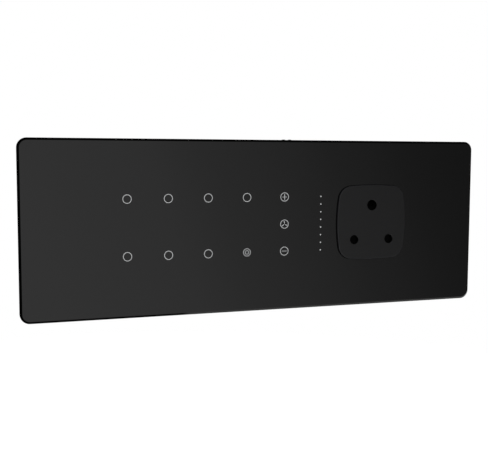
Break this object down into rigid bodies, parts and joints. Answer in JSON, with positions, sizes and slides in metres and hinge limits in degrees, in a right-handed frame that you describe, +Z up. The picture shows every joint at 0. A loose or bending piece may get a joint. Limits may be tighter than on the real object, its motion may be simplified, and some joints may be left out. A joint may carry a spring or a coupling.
{
  "type": "switch panel",
  "caption": "Wide wall-mounted touch switch panel: black bevelled glass front with ring keys and a fan speed column, round-pin socket at the right, electronics case behind.",
  "frame": {"origin": "on the wall plane, midway between the two wall screw slots", "axes": "+X right seen from the front, +Y from the front into the wall, +Z up"},
  "size_m": [0.2696, 0.0415, 0.0966],
  "materials": {
    "black_glass": "back-printed black, polished",
    "foam_tape": "closed-cell acrylic foam",
    "frame_plastic": "fine spark texture",
    "socket_plastic": "fine satin",
    "circuit_board": "green solder mask",
    "touch_circuit_board": "black solder mask",
    "conductive_foam": "graphite foam",
    "led_plastic": "moulded epoxy",
    "black_plastic": "moulded",
    "chip_epoxy": "moulded epoxy",
    "tinned_steel": "tin plated",
    "gold_brass": "gold flash",
    "zinc_steel": "zinc plated",
    "grey_plastic": "glass-filled, moulded",
    "spring_steel": "stainless strip and wire",
    "case_plastic": "flame-retardant, moulded",
    "relay_plastic": "moulded",
    "capacitor_box": "epoxy-filled box",
    "capacitor_sleeve": "shrink sleeve",
    "varistor_coat": "dipped epoxy",
    "fuse_plastic": "moulded",
    "terminal_plastic": "polyamide, moulded",
    "nickel_brass": "nickel plated",
    "phenolic_plastic": "phenolic, moulded",
    "sleeve_brass": "turned"
  },
  "bodies": {
    "base": {"wall_frame": "grey_plastic", "catch_springs": "spring_steel", "power_case": "case_plastic", "case_screws": "zinc_steel", "power_board": "circuit_board", "power_board_screws": "zinc_steel", "relays": "relay_plastic", "fan_capacitors": "capacitor_box", "power_supply": "case_plastic", "bulk_capacitor": "capacitor_sleeve", "varistor": "varistor_coat", "fuse": "fuse_plastic", "header_socket": "black_plastic", "terminal_blocks": "terminal_plastic", "terminal_clamps": "nickel_brass", "terminal_screws": "zinc_steel", "socket_face": "socket_plastic", "contact_block": "phenolic_plastic", "line_sleeve": "sleeve_brass", "neutral_sleeve": "sleeve_brass", "earth_sleeve": "sleeve_brass", "socket_terminal_screws": "zinc_steel", "socket_screws": "zinc_steel", "shutter_spring": "spring_steel"},
    "front": {"glass_panel": "black_glass", "glass_tape": "foam_tape", "front_frame": "frame_plastic", "touch_board": "touch_circuit_board", "touch_pads": "conductive_foam", "key_leds": "led_plastic", "speed_leds": "led_plastic", "light_guide": "black_plastic", "board_chips": "chip_epoxy", "radio_board": "touch_circuit_board", "radio_shield": "tinned_steel", "pin_header": "black_plastic", "header_pins": "gold_brass", "board_screws": "zinc_steel"},
    "shutter": {"shutter": "black_plastic"}
  },
  "joints": [
    {"name": "front_pull", "type": "slide", "parent": "base", "child": "front", "axis": [0, -1, 0], "range_m": [0, 0.04], "deforming": ["catch_springs"]},
    {"name": "shutter_slide", "type": "slide", "parent": "base", "child": "shutter", "axis": [0, 0, -1], "range_m": [0, 0.006], "stiffness_N_per_m": 120, "springref_m": -0.01, "deforming": ["shutter_spring"]}
  ]
}
